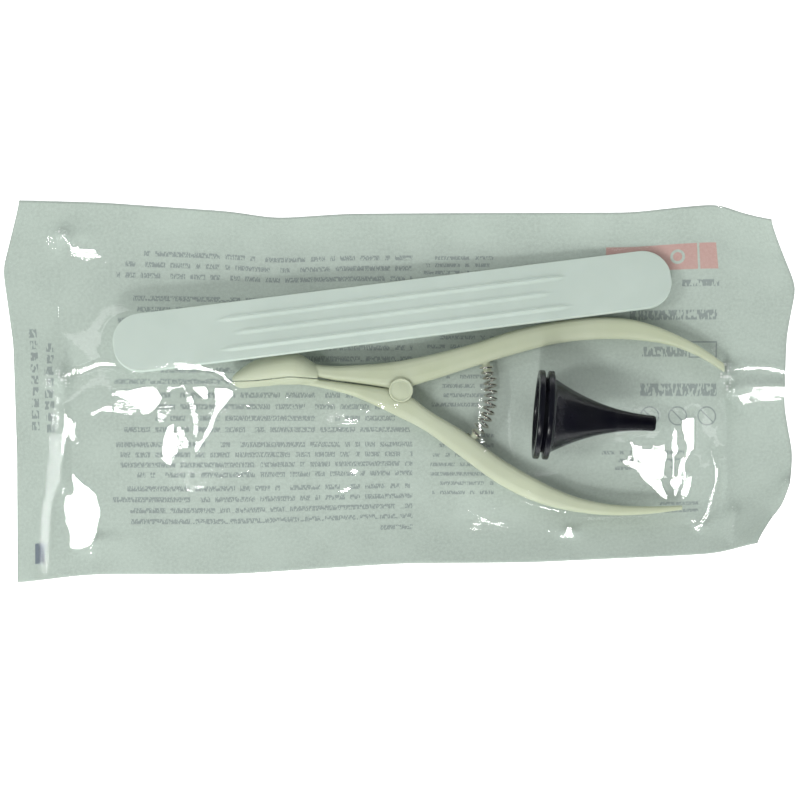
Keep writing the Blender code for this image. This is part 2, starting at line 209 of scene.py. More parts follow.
def text_marks(tree, u, v, place):
    """Rows of unreadable marks: blots broken into words, kept to rows inside each block."""
    strokes = node(tree, "ShaderNodeMapping", {"Vector": place, "Scale": (2.5, 0.85, 1.0)})
    small = ramp(tree, noise(tree, strokes, 1.0, 1.0, 0.6), 0.42, 0.50)
    large = ramp(tree, noise(tree, strokes, 0.45, 1.0, 0.6), 0.44, 0.49)
    rows = bold = None
    for left, right, top, count, pitch, tall in TEXT_BLOCKS:
        down = calc(tree, "SUBTRACT", top, v)
        row = calc(tree, "DIVIDE", down, pitch)
        number = calc(tree, "FLOOR", row)
        seed = {"W": calc(tree, "ADD", number, top)}
        ragged = node(tree, "ShaderNodeTexWhiteNoise", seed, noise_dimensions="1D")
        left_end = calc(tree, "MULTIPLY_ADD", ragged, min(12.0, (right - left) * 0.3), left)
        past_left = calc(tree, "GREATER_THAN", u, left_end)
        across = calc(tree, "MULTIPLY", past_left, calc(tree, "LESS_THAN", u, right))
        along = inside(tree, calc(tree, "FRACT", row), 0.08, tall / pitch + 0.08, 0.06)
        within_rows = inside(tree, down, 0, count * pitch, 0.01)
        block = calc(tree, "MULTIPLY", calc(tree, "MULTIPLY", across, along), within_rows)
        if tall > BOLD_HEIGHT:
            bold = either(tree, bold, block)
        else:
            rows = either(tree, rows, block)
    # One cell in six is left blank, as a gap between words.
    cell = {"X": calc(tree, "FLOOR", calc(tree, "DIVIDE", u, 1.6))}
    cell["Y"] = calc(tree, "FLOOR", calc(tree, "DIVIDE", v, 3.3))
    cell = node(tree, "ShaderNodeCombineXYZ", cell)
    word = node(tree, "ShaderNodeTexWhiteNoise", {"Vector": cell}, noise_dimensions="3D")
    words = calc(tree, "GREATER_THAN", word, 0.17)
    small = calc(tree, "MULTIPLY", calc(tree, "MULTIPLY", rows, small), words)
    return calc(tree, "MAXIMUM", small, calc(tree, "MULTIPLY", bold, large))


def round_mark(tree, u, v, centre, radius, line):
    """A ring of a given line width."""
    values = {0: node(tree, "ShaderNodeCombineXYZ", {"X": u, "Y": v}), 1: (*centre, 0)}
    away = node(tree, "ShaderNodeVectorMath", values, operation="DISTANCE", output="Value")
    return inside(tree, away, radius - line, radius, 0.1)


def ring_marks(tree, u, v):
    """Plain rings, each crossed by a bar, and the box round a row of figures."""
    marks = None
    for left, top in RINGS:
        ring = round_mark(tree, u, v, (left, top), RING_RADIUS, 0.45)
        slant = calc(tree, "ADD", calc(tree, "SUBTRACT", u, left), calc(tree, "SUBTRACT", v, top))
        disc = round_mark(tree, u, v, (left, top), RING_RADIUS, RING_RADIUS)
        bar = calc(tree, "MULTIPLY", inside(tree, slant, -0.3, 0.3), disc)
        marks = either(tree, marks, calc(tree, "MAXIMUM", ring, bar))
    left, right, bottom, top = FIGURE_BOX
    inner = in_box(tree, u, v, (left + 0.5, right - 0.5, bottom + 0.5, top - 0.5))
    frame = calc(tree, "SUBTRACT", in_box(tree, u, v, FIGURE_BOX), inner, clamp=True)
    return calc(tree, "MAXIMUM", marks, frame)


def paper_material(name, strength, tint):
    """Porous medical paper: fibres, faint mottling, the print at a given strength and the indicator."""
    made, tree, output = new_material(name)
    u, v, place = flat_place(tree)
    fibres = noise(tree, place, 1.0, 5.0, 0.8)
    clouds = noise(tree, place, 0.06, 4.0, 0.6)
    base = blended(tree, ramp(tree, clouds, 0.3, 0.7), (*[c * 0.88 for c in tint], 1), (*tint, 1))
    base = blended(tree, ramp(tree, fibres, 0.3, 0.7, 0.0, 0.7), base, (*[c * 1.2 for c in tint], 1))
    marks = calc(tree, "MAXIMUM", text_marks(tree, u, v, place), ring_marks(tree, u, v))
    base = blended(tree, calc(tree, "MULTIPLY", marks, strength), base, INK)
    gap = in_box(tree, u, v, RED_GAP)
    gap = calc(tree, "MAXIMUM", gap, round_mark(tree, u, v, RED_RING, 2.4, 0.9))
    red = calc(tree, "SUBTRACT", in_box(tree, u, v, RED_BLOCK), gap, clamp=True)
    base = blended(tree, calc(tree, "MULTIPLY", red, strength * 0.9), base, RED_INK)
    patch = in_box(tree, u, v, INDICATOR)
    base = blended(tree, calc(tree, "MULTIPLY", patch, 0.75), base, INDICATOR_INK)
    values = {
        "Base Color": base,
        "Roughness": ramp(tree, fibres, 0.2, 0.8, 0.7, 0.9),
        "Specular IOR Level": 0.25,
        "Normal": bump(tree, fibres, 0.35, 0.06 * MM),
    }
    principled(tree, output, values)
    return made


# ------------------------ other materials


# Boxes in which the film stays dull, the first over the ear speculum, and how much shine they take.
DULL_PATCHES = ((35, 68, -27, 12), (-73, -60, -31, -20.5), (18, 44, -44, -29), (-25, -13, -8.5, 0.5))
DULLING = 0.9
FILM_IOR = 1.5


def film_material():
    """Clear laminate film: see-through, with mirror-like reflections that are weak in the dull
    patches, fine stretch lines and the knurling of the left seal."""
    made, tree, output = new_material("clear film")
    u, v, place = flat_place(tree)
    stretch = node(tree, "ShaderNodeMapping", {"Vector": place, "Scale": (0.35, 1.6, 1.0)})
    ripple = noise(tree, stretch, 0.5, 3.0, 0.55)
    relief = bump(tree, ripple, 0.14, 0.5 * MM)
    band = inside(tree, u, -118, -109.3, 0.3)
    knurl_u = calc(tree, "SINE", calc(tree, "MULTIPLY", u, 6.0))
    knurl_v = calc(tree, "SINE", calc(tree, "MULTIPLY", v, 6.0))
    knurl = calc(tree, "MULTIPLY", calc(tree, "MULTIPLY", knurl_u, knurl_v), band)
    relief = bump(tree, knurl, 0.6, 0.028 * MM, relief)
    behind = node(tree, "ShaderNodeNewGeometry", output="Backfacing")
    bend = calc(tree, "MULTIPLY_ADD", behind, 1 / FILM_IOR - FILM_IOR, FILM_IOR)
    reflect = node(tree, "ShaderNodeFresnel", {"IOR": bend, "Normal": relief})
    reflect = calc(tree, "MINIMUM", calc(tree, "MULTIPLY", reflect, 1.1), 0.12)
    for box in DULL_PATCHES:
        patch = in_box(tree, u, v, box, 1)
        reflect = calc(tree, "MULTIPLY", reflect, calc(tree, "MULTIPLY_ADD", patch, -DULLING, 1.0))
    gloss, haze = (
        node(tree, "ShaderNodeBsdfGlossy", {"Color": (1, 1, 1, 1), "Roughness": rough, "Normal": relief})
        for rough in (0.06, 0.22)
    )
    hazy = ramp(tree, ripple, 0.3, 0.7, 0.02, 0.10)
    shine = node(tree, "ShaderNodeMixShader", {0: hazy, 1: gloss, 2: haze})
    clear = node(tree, "ShaderNodeBsdfTransparent", {"Color": (0.97, 0.985, 0.972, 1)})
    milk = node(tree, "ShaderNodeBsdfDiffuse", {"Color": (0.8, 0.86, 0.82, 1)})
    cloudy = ramp(tree, noise(tree, place, 0.07, 4.0, 0.6), 0.4, 0.75, 0.0, 0.006)
    body = node(tree, "ShaderNodeMixShader", {0: cloudy, 1: clear, 2: milk})
    skin = node(tree, "ShaderNodeMixShader", {0: reflect, 1: body, 2: shine})
    tree.links.new(skin, output.inputs["Surface"])
    return made


def plastic_material(name, tint, shade, rough, sheen_scale, depth):
    """Injection-moulded plastic: a slight drift of tone, flow marks and a fine satin grain."""
    made, tree, output = new_material(name)
    place = object_place(tree)
    flow = noise(tree, place, 55.0, 3.0, 0.55)
    grain = noise(tree, place, sheen_scale, 4.0, 0.6)
    base = blended(tree, ramp(tree, flow, 0.3, 0.7), (*shade, 1), (*tint, 1))
    values = {
        "Base Color": base,
        "Roughness": ramp(tree, grain, 0.25, 0.75, rough * 0.85, rough * 1.2),
        "Subsurface Weight": depth,
        "Subsurface Radius": (1.0, 0.9, 0.7),
        "Subsurface Scale": 1.2 * MM,
        "Normal": bump(tree, grain, 0.12, 0.04 * MM),
    }
    principled(tree, output, values)
    return made


def black_material():
    """Glossy black polypropylene with a faint blue cast and a slight drift of gloss."""
    made, tree, output = new_material("black gloss plastic")
    soft = noise(tree, object_place(tree), 90.0, 2.0, 0.5)
    base = blended(tree, ramp(tree, soft, 0.35, 0.7), (0.002, 0.002, 0.005, 1), (0.004, 0.004, 0.009, 1))
    rough = ramp(tree, soft, 0.3, 0.7, 0.22, 0.28)
    principled(tree, output, {"Base Color": base, "Roughness": rough, "Specular IOR Level": 0.3})
    return made


def steel_material():
    """Bright drawn wire with a few darker, browner stains."""
    made, tree, output = new_material("spring steel")
    place = object_place(tree)
    drawn = noise(tree, place, 700.0, 3.0, 0.6)
    stain = noise(tree, place, 160.0, 2.0, 0.5)
    base = blended(tree, ramp(tree, stain, 0.35, 0.75), (0.78, 0.77, 0.74, 1), (0.55, 0.49, 0.42, 1))
    rough = ramp(tree, drawn, 0.3, 0.7, 0.12, 0.28)
    principled(tree, output, {"Base Color": base, "Metallic": 1.0, "Roughness": rough})
    return made


# ------------------------ meshes


def mesh_piece(name, points, faces, looks, face_looks=None):
    """A smooth-shaded object from points and faces, with a material number for each face if need be."""
    mesh = bpy.data.meshes.new(name)
    mesh.from_pydata([tuple(p) for p in points], [], faces)
    for look in looks:
        mesh.materials.append(look)
    if face_looks is not None:
        mesh.polygons.foreach_set("material_index", face_looks)
    mesh.shade_smooth()
    piece = bpy.data.objects.new(name, mesh)
    bpy.context.collection.objects.link(piece)
    return piece


def give_flat_place(piece, flat):
    """Stores each vertex's place on the flat pouch as the UV map that the print and seals follow."""
    mesh = piece.data
    layer = mesh.uv_layers.new(name="flat")
    corners = np.empty(len(mesh.loops), dtype=np.int32)
    mesh.loops.foreach_get("vertex_index", corners)
    layer.data.foreach_set("uv", flat[corners].astype(np.float32).ravel())


def skin_faces(loop_count, count, ring=False, caps=True):
    """Quads between loops of points, closed into a ring or capped at both ends."""
    faces = []
    for i in range(loop_count if ring else loop_count - 1):
        a, b = i * count, (i + 1) % loop_count * count
        for k in range(count):
            n = (k + 1) % count
            faces.append((a + k, a + n, b + n, b + k))
    if caps and not ring:
        faces.append(tuple(range(count))[::-1])
        faces.append(tuple(range((loop_count - 1) * count, loop_count * count)))
    return faces


# The skin of a moulded piece: its voxels, its rounds of easing and what it swells by after them.
SKIN_VOXEL, SKIN_ROUNDS, SKIN_SWELL = 0.22 * MM, 5, 0.06 * MM


def moulded(name, cad_node, look):
    """A CAD solid with a fine skin and its edges eased as a mould leaves them."""
    source = bpy.data.objects[cad_node]
    rough = bpy.data.objects.new(name, source.data.copy())
    bpy.context.collection.objects.link(rough)
    skin = rough.modifiers.new("fine skin", "REMESH")
    skin.mode = "VOXEL"
    skin.voxel_size = SKIN_VOXEL
    skin.use_smooth_shade = True
    ease = rough.modifiers.new("eased edges", "SMOOTH")
    ease.factor = 0.5
    ease.iterations = SKIN_ROUNDS
    swell = rough.modifiers.new("full size again", "DISPLACE")
    swell.mid_level = 0
    swell.strength = SKIN_SWELL
    graph = bpy.context.evaluated_depsgraph_get()
    mesh = bpy.data.meshes.new_from_object(rough.evaluated_get(graph))
    rough.modifiers.clear()
    rough.data = mesh
    mesh.materials.clear()
    mesh.materials.append(look)
    mesh.shade_smooth()
    return rough


# ------------------------ the pouch's shape

# Along each edge of the flat pouch, in millimetres: place, shift of the outline and lift off the table.
TOP_EDGE = (
    (-125, 1.0, 1.5), (-95, 0.3, 1.0), (-54, -2.6, 1.5), (-40, -4.8, 1.6), (-17, -3.3, 1.6),
    (20, -3.1, 2.0), (74, -3.0, 3.0), (90, -1.2, 2.5), (104, -0.2, 2.5), (112, -3.0, 3.0), (125, -5.5, 4.0),
)
BOTTOM_EDGE = (
    (-125, -1.5, 1.0), (-100, 1.3, 1.0), (-54, 1.3, 2.0), (0, 4.9, 4.0), (41, 5.2, 4.5),
    (82, 7.1, 5.0), (105, 8.2, 6.0), (125, 12.0, 6.0),
)
LEFT_EDGE = ((-60, 2.6, 1.0), (-20, 2.4, 1.5), (15, 1.2, 1.0), (38.5, -2.2, 0.5), (60, 3.4, 1.0))
RIGHT_EDGE = (
    (-60, -12.0, 6.0), (-50, -7.5, 5.0), (-43, -3.2, 3.5), (-31, 0.0, 2.0), (-21, 0.6, 1.5),
    (-4, -2.3, 2.5), (18, -1.3, 2.0), (35, 1.8, 1.5), (50, -3.5, 2.0), (60, -7.0, 3.0),
)


def edge_curve(table, at, column, blur=5.0):
    """A column of an edge table, read at places in metres, with its corners blurred."""
    table = np.array(table, float)
    dense = np.arange(-150, 150.5, 0.5)
    values = np.interp(dense, table[:, 0], table[:, column])
    reach = np.arange(-4 * blur, 4 * blur + 0.5, 0.5)
    kernel = np.exp(-0.5 * (reach / blur) ** 2)
    values = np.convolve(np.pad(values, len(reach) // 2, "edge"), kernel / kernel.sum(), "valid")
    return np.interp(at / MM, dense, values) * MM


def rise(value, start, end, power):
    """0 up to start, 1 from end on, and a power curve between."""
    return np.clip((value - start) / (end - start), 0, 1) ** power


def pouch_place(u, v):
    """Where a point of the flat pouch lies: the top of the paper."""
    half_l, half_w = POUCH_LENGTH / 2, POUCH_WIDTH / 2
    left, right = rise(-u, 0.085, half_l, 1.6), rise(u, 0.085, half_l, 1.6)
    top, low = rise(v, 0.010, half_w, 1.5), rise(-v, 0.010, half_w, 1.5)
    x = u + edge_curve(LEFT_EDGE, v, 1, 2.0) * left + edge_curve(RIGHT_EDGE, v, 1, 2.5) * right
    y = v + edge_curve(TOP_EDGE, u, 1, 3.5) * top + edge_curve(BOTTOM_EDGE, u, 1) * low
    lift = edge_curve(TOP_EDGE, u, 2) * rise(v, 0.047, half_w, 1.7)
    lift += edge_curve(BOTTOM_EDGE, u, 2) * rise(-v, 0.034, half_w, 1.9)
    lift += edge_curve(LEFT_EDGE, v, 2) * rise(-u, 0.100, half_l, 2.0)
    lift += edge_curve(RIGHT_EDGE, v, 2) * rise(u, 0.098, half_l, 2.0)
    wave = 0.1 * MM * (1 + np.sin(u * 95 + 1.3 + v * 30) * np.sin(v * 70 + 0.6))
    return x, y, PAPER_THICK + 0.02 * MM + lift + wave * rise(np.abs(u) + np.abs(v), 0.02, 0.08, 1)


def sheet_grid(step):
    """The flat pouch's grid lines, a step apart."""
    us = np.linspace(-POUCH_LENGTH / 2, POUCH_LENGTH / 2, round(POUCH_LENGTH / step) + 1)
    vs = np.linspace(-POUCH_WIDTH / 2, POUCH_WIDTH / 2, round(POUCH_WIDTH / step) + 1)
    return us, vs


def grid_faces(columns, rows, first=0, flip=False):
    faces = []
    for i in range(columns - 1):
        for j in range(rows - 1):
            a = first + i * rows + j
            quad = (a, a + rows, a + rows + 1, a + 1)
            faces.append(quad[::-1] if flip else quad)
    return faces


def rim_of(columns, rows):
    """The numbers of a grid's outer points, once round."""
    rim = [i * rows for i in range(columns)]
    rim += [(columns - 1) * rows + j for j in range(1, rows)]
    rim += [i * rows + rows - 1 for i in range(columns - 2, -1, -1)]
    return rim + [j for j in range(rows - 2, 0, -1)]


def pouch_paper(inner, outer, folds):
    """The paper as a thin closed sheet, its printed side underneath."""
    us, vs = sheet_grid(1.0 * MM)
    u, v = np.meshgrid(us, vs, indexing="ij")
    x, y, z = pouch_place(u, v)
    z = z + resampled(*folds, us, vs)
    top = np.stack([x, y, z], -1).reshape(-1, 3)
    under = top - [0, 0, PAPER_THICK]
    columns, rows = len(us), len(vs)
    layer = columns * rows
    faces = grid_faces(columns, rows) + grid_faces(columns, rows, layer, True)
    face_looks = [0] * (len(faces) // 2) + [1] * (len(faces) // 2)
    rim = rim_of(columns, rows)
    for a, b in zip(rim, rim[1:] + rim[:1]):
        faces.append((b, a, layer + a, layer + b))
        face_looks.append(0)
    paper = mesh_piece("pouch_paper", np.concatenate([top, under]), faces, [inner, outer], face_looks)
    flat = np.stack([u, v], -1).reshape(-1, 2)
    give_flat_place(paper, np.concatenate([flat, flat]))
    return paper


# ------------------------ the film

# The pocket inside the seals: left, right, bottom and top on the flat pouch.
POCKET = (-109 * MM, 104.5 * MM, -48.5 * MM, 50.5 * MM)
POCKET_CORNER = 7 * MM
FILM_STEP = 0.625 * MM
# How far the film's tents reach before it clings to the paper.
CLING = 14 * MM
# Slopes this near to a glint's are turned away, and what weight the glints' and these slopes carry.
GLINT_REACH = 0.06
GLINT_WEIGHT, NEAR_WEIGHT = 60, 20
# Where the film is smoothed over the ear speculum: its middle and half its size.
CONE_AREA = (62 * MM, -9 * MM, 24 * MM, 18 * MM)


def pocket_depth(u, v):
    """How far a point lies inside the rounded pocket; negative on the seals."""
    left, right, bottom, top = POCKET
    across = np.abs(u - (left + right) / 2) - (right - left) / 2 + POCKET_CORNER
    along = np.abs(v - (bottom + top) / 2) - (top - bottom) / 2 + POCKET_CORNER
    outside = np.hypot(np.maximum(across, 0), np.maximum(along, 0))
    return POCKET_CORNER - outside - np.minimum(np.maximum(across, along), 0)


def contents_trees():
    """Search trees of what lies under the film, at rest and at the motions' ends."""
    still = Matrix.Identity(4)
    shift = Matrix.Translation((NASAL_SHIFT, 0, 0))

    def swing(angle):
        return Matrix.Translation(PIVOT) @ Matrix.Rotation(angle, 4, "Z") @ Matrix.Translation(-PIVOT)

    motions = {
        "ear_speculum": [still],
        "pivot_rivet": [still, shift],
        "handle_spring": [still, shift],
        "tongue_depressor": [Matrix.Translation(DEPRESSOR_SHIFT * k) for k in (-1, 0, 1)],
        "upper_lever": [m @ swing(-SQUEEZE * k / 2) for m in (still, shift) for k in range(3)],
        "lower_lever": [m @ swing(SQUEEZE * k / 2) for m in (still, shift) for k in range(3)],
    }
    trees = []
    for name, moves in motions.items():
        mesh = bpy.data.objects[name].data
        faces = [tuple(face.vertices) for face in mesh.polygons]
        for move in moves:
            trees.append(BVHTree.FromPolygons([move @ p.co for p in mesh.vertices], faces))
    return trees


def contents_height(x, y, trees):
    """The top of the contents over each point, widened by one step all round."""
    down = Vector((0, 0, -1))
    top = np.zeros(x.shape)
    for i in range(x.shape[0]):
        for j in range(x.shape[1]):
            start = Vector((x[i, j], y[i, j], 0.1))
            for tree in trees:
                hit = tree.ray_cast(start, down)[0]
                if hit is not None and hit.z > top[i, j]:
                    top[i, j] = hit.z
    wide = np.pad(top, 1)
    shifts = [wide[i : i + top.shape[0], j : j + top.shape[1]] for i in range(3) for j in range(3)]
    return np.max(shifts, axis=0)


def relaxed(height, held, free, rounds, rest=0.0, cling=0.0):
    """Lets a skin settle: each free point goes to the mean of its neighbours, drawn to rest by the
    cling, but not below held."""
    for _ in range(rounds):
        mean = height.copy()
        mean[1:-1, 1:-1] = (
            height[:-2, 1:-1] + height[2:, 1:-1] + height[1:-1, :-2] + height[1:-1, 2:]
        ) / 4
        mean = (mean + cling * rest) / (1 + cling)
        height = np.where(free, np.maximum(held, mean), held)
    return height


def resampled(values, old_us, old_vs, us, vs):
    """Values on one grid, read on another."""
    part = np.array([np.interp(us, old_us, column) for column in values.T]).T
    return np.array([np.interp(vs, old_vs, row) for row in part])


def triangle_wave(value):
    return np.abs(value - np.floor(value) - 0.5) * 2


def facets(u, v, size, seed):
    """Flat facets between sharp creases, from triangle waves that cross at odd angles."""
    random = np.random.default_rng(seed)
    total = np.zeros(u.shape)
    for _ in range(4):
        angle, phase, bend = random.uniform(0, math.pi), random.uniform(0, 9), random.uniform(3, 6)
        wave = size * random.uniform(0.75, 1.5)
        along = u * math.cos(angle) + v * math.sin(angle)
        across = v * math.cos(angle) - u * math.sin(angle)
        warp = 0.18 * size * np.sin(across / (bend * size) * 2 * math.pi + phase)
        total += triangle_wave((along + warp) / wave + phase) * wave / size
    return total / 4


# Facets of the crumpled film that throw a lamp's light up to the camera, in millimetres.
FRONT_GLINTS = (
    ((-108.2, 3.9), (-106, 5.4), (-104.3, 6.2), (-103.4, 7.4), (-102.2, 6.8), (-95.2, 8.9), (-90, 8.9),
     (-84, 8.3), (-72.5, 9), (-66, 8), (-58, 6.3), (-55.9, 5.8), (-55, 4), (-51.5, 1.2), (-55.5, 3.2),
     (-56.8, 5.5), (-64, 6.5), (-72, 7.1), (-80, 7.3), (-88, 7.7), (-95, 8.1), (-100.5, 5.6),
     (-104, 5)),
    ((-92.2, -0.3), (-86, 0.2), (-80.5, 1.6), (-77, 1.6), (-75.2, 0), (-75.5, -2.2), (-78, -5.8),
     (-81.5, -7), (-84.2, -4), (-87, -1.9)),
    ((-67.5, 1), (-61, 1.4), (-61.2, -2.2), (-62.3, -3.2), (-65.5, 0)),
    ((-108.7, 50.3), (-107.2, 49.6), (-104.5, 46), (-97, 45), (-95, 42), (-96, 39.6), (-101, 41),
     (-104.2, 44.2)),
    ((72.3, -16.1), (75.5, -14.8), (80.8, -12.3), (84.4, -10.2), (85.6, -8.8), (86.4, -7.8), (87.3, -7.8),
     (87.6, -9.4), (86, -9.6), (84.8, -13), (84.3, -17), (84.4, -20), (85.2, -23), (85.6, -26),
     (85.6, -27.6), (85.2, -28.4), (84.6, -26.5), (82.2, -26.4), (80.6, -24.6), (77.4, -23.4),
     (76.6, -21), (75, -18.6), (73.5, -16.9)),
    ((86.4, -10.6), (87.3, -10.6), (87.7, -14), (87.6, -18), (87.4, -22), (87.2, -26.8),
     (86.8, -26.8), (86.6, -22), (86.3, -17), (86.2, -13)),
    ((88.4, -8.9), (92.4, -8.4), (93.2, -8), (93.1, -15), (93.8, -18.7), (92.4, -19.9), (91, -22),
     (89.2, -24.3), (89.2, -28.5), (88.6, -30.5), (87.9, -31.4), (87.9, -34), (87.3, -34),
     (87.1, -31.5), (86.2, -30.4), (85.3, -29), (86.9, -27), (88, -29), (88.4, -27), (88.2, -25),
     (90.2, -21.8), (91.5, -18), (91.4, -16.5), (90, -13.5), (89.3, -11.8)),
    ((70.2, -21.9), (71.5, -21.9), (75.9, -24.3), (80.5, -24.9), (82.3, -27.2), (84.5, -31.5),
     (85.6, -34.9), (86.5, -36), (87.2, -36.8), (86, -36.3), (83.2, -34), (79.5, -30), (77.5, -28.2),
     (75.7, -25.8), (71.8, -24)),
    ((88.7, -35.6), (89.7, -33.5), (90.8, -29), (93.8, -25.9), (92.5, -29.5), (91.9, -33), (90, -36.3),
     (88, -36.8)),
    ((105, 7.2), (112, 7.6), (115.5, 8), (120, 7.5), (124.4, 6.1), (123.5, 5), (119, 6.2), (115, 7),
     (110, 6.6), (105, 6.4)),
    ((102.6, -0.5), (105.5, 0.6), (113.5, 1.7), (123, 1.5), (122.8, 0), (114, -0.3), (108, -0.6),
     (104.5, -1)),
    ((50.4, -47), (56.2, -47.2), (55, -44.6), (53.6, -43.6), (52.6, -45.4)),
    ((-20, -33), (-17.2, -32.2), (-14.6, -29), (-16, -30.6)),
    ((-15.6, -25.6), (-13.9, -24), (-14.4, -27.4)),
)
SIDE_GLINTS = (
    ((-110.6, -26), (-109.6, -29), (-111.6, -36), (-112.2, -45), (-113.2, -58), (-115, -58), (-115.4, -46),
     (-114.4, -38), (-112, -31)),
    ((-76, 1.2), (-71, 1.6), (-69.3, 2), (-67.5, 1.2), (-65.4, -3), (-64.2, -9), (-64.6, -17),
     (-65, -20), (-65.6, -12), (-66.5, -6), (-68.4, 0.4), (-70, 1.2), (-72.5, 0.4), (-75.2, -0.8)),
    ((-59.3, 0.9), (-52.3, 0.4), (-53.3, -2), (-56, -4.5), (-58.2, -8.2), (-59.6, -12.5), (-64.9, -20),
     (-65.3, -19.2), (-63, -15.2), (-60.5, -11.2), (-59.2, -8), (-58.3, -4.2)),
    ((-73.2, -10), (-71.6, -14.5), (-71.1, -18), (-71.7, -21.5), (-73.3, -24.3), (-74.8, -22.8),
     (-75.9, -18.5), (-74.6, -14)),
    ((-70.4, -10.2), (-69.3, -13), (-67.6, -18), (-69, -16)),
    ((-105.3, -26.4), (-102.6, -29), (-97.3, -32.6), (-96.3, -36), (-95.5, -38.5), (-96.7, -43.4),
     (-98.2, -48.9), (-100, -49.9), (-106, -49.6), (-105.3, -45), (-107.2, -42), (-107.6, -37.5),
     (-107.3, -33.3), (-105.9, -35.5), (-104.2, -36), (-104.1, -31.5)),
    ((-106.2, -9), (-105, -9), (-104.2, -12), (-103.7, -14.8), (-104, -16.2), (-105.2, -13)),
    ((-107.6, -5), (-106.6, -8), (-106.8, -14), (-107.8, -20), (-108.7, -24), (-109, -29.5),
     (-110.2, -29.8), (-109.6, -24), (-108.9, -19.5), (-107.6, -13), (-107.2, -9)),
    ((98.4, -14.8), (99.5, -19.5), (100.8, -22.5), (101.8, -25.3), (101.3, -29), (100.4, -33),
     (98.6, -40), (96, -44.5), (94.8, -45.3), (92.4, -43), (93, -42.6), (95, -44), (97.8, -38.5),
     (99, -33.2), (100.3, -30), (100.3, -25), (99, -19.8)),
    ((102.2, 7.2), (103.2, 9.7), (104.2, 7.9), (104.4, 6), (103, 3), (102.3, 5)),
    ((106.2, -38), (106.8, -38), (106.2, -43), (106, -48.8), (105, -48.8), (105.3, -43)),
    ((124.6, -27.8), (123, -31), (119.5, -38.5), (116.8, -45), (113.6, -50.7), (116.3, -50.4),
     (118, -46.5), (121, -40), (124.2, -30.5)),
)


def within(x, y, polygon):
    """Whether each point lies in a polygon, given in millimetres."""
    inside_it = np.zeros(x.shape, bool)
    for (ax, ay), (bx, by) in zip(polygon, polygon[1:] + polygon[:1]):
        crosses = (ay * MM > y) != (by * MM > y)
        if ay != by:
            at = (bx - ax) * (y / MM - ay) / (by - ay) + ax
            inside_it ^= crosses & (x / MM < at)
    return inside_it


def glint_slopes(x, y, z, lamp):
    """The slopes that send a lamp's light to the camera."""
    point = np.stack([x, y, z], -1)
    ways = [np.array(place) - point for place in (lamp, CAMERA_AT)]
    half = sum(way / np.linalg.norm(way, axis=-1)[..., None] for way in ways)
    return -half[..., 0] / half[..., 2], -half[..., 1] / half[..., 2]


def eased(x, y, turn_x, turn_y, weight, pull):
    """The shift of a skin that turns its slopes as asked, weighted, while a pull keeps it in place."""
    spans = []
    for axis, low, high in ((0, np.s_[:-1], np.s_[1:]), (1, np.s_[:, :-1], np.s_[:, 1:])):
        both = weight[low] + weight[high]
        mean_x = (turn_x[low] * weight[low] + turn_x[high] * weight[high]) / both
        mean_y = (turn_y[low] * weight[low] + turn_y[high] * weight[high]) / both
        wanted = mean_x * np.diff(x, axis=axis) + mean_y * np.diff(y, axis=axis)
        spans.append((low, high, np.maximum(weight[low], weight[high]), wanted))

    def gathered(steps):
        out = np.zeros(x.shape)
        for (low, high, _, _), step in zip(spans, steps):
            out[high] += step
            out[low] -= step
        return out

    shift = np.zeros(x.shape)
    left = gathered([share * wanted for _, _, share, wanted in spans])
    way = left.copy()
    size = (left**2).sum()
    for _ in range(260):
        answer = gathered([share * (way[high] - way[low]) for low, high, share, _ in spans])
        answer += pull * way
        length = size / (way * answer).sum()
        shift += length * way
        left -= length * answer
        new_size = (left**2).sum()
        way = left + new_size / size * way
        size = new_size
    return shift


def crumpled(height, x, y, held, free):
    """Turns the listed facets to the lamps, and every other slope a little away from them."""
    facing = []
    for lamp, polygons in ((FRONT_LAMP, FRONT_GLINTS), (SIDE_LAMP, SIDE_GLINTS)):
        share = np.zeros(x.shape, bool)
        spread = np.where(x < 0, 0.15 * MM, 0)
        for polygon in polygons:
            for ahead, aside in ((0, 0), (1, 1), (-1, 1), (1, -1), (-1, -1)):
                share |= within(x + ahead * spread, y + aside * spread, polygon)
        facing.append((lamp, share))
    chosen = facing[0][1] | facing[1][1]
    pull = np.where(free, 0.003, 0.05)
    for _ in range(5):
        lack = np.maximum(held - height, 0)
        height = height + relaxed(lack, lack, free, 120)
        slope_x = np.gradient(height, axis=0) / np.gradient(x, axis=0)
        slope_y = np.gradient(height, axis=1) / np.gradient(y, axis=1)
        turn_x, turn_y = np.zeros(x.shape), np.zeros(x.shape)
        weight = np.ones(x.shape)
        for lamp, share in facing:
            aim_x, aim_y = glint_slopes(x, y, height, lamp)
            off_x, off_y = slope_x - aim_x, slope_y - aim_y
            off = np.maximum(np.hypot(off_x, off_y), 0.004)
            near = (off < GLINT_REACH) & ~chosen
            push = np.where(near, GLINT_REACH / off - 1, 0)
            turn_x += np.where(share, -off_x, push * off_x)
            turn_y += np.where(share, -off_y, push * off_y)
            weight = np.where(share, GLINT_WEIGHT, np.where(near, NEAR_WEIGHT, weight))
        height = height + eased(x, y, turn_x, turn_y, weight, pull)
    return height


# Softly crumpled places, in millimetres: centre, reach along and across, facet size and height.
CRUMPLES = (
    (-78, -8, 34, 16, 15, 0.3),
    (-100, -38, 9, 15, 16, 0.4),
    (83, -26, 18, 14, 10, 0.7),
    (100, -2, 12, 14, 9, 0.5),
    (101, -36, 8, 16, 9, 0.5),
    (20, -32, 70, 12, 30, 0.3),
    (-20, 44, 90, 8, 24, 0.35),
    (60, 48, 50, 7, 18, 0.4),
)
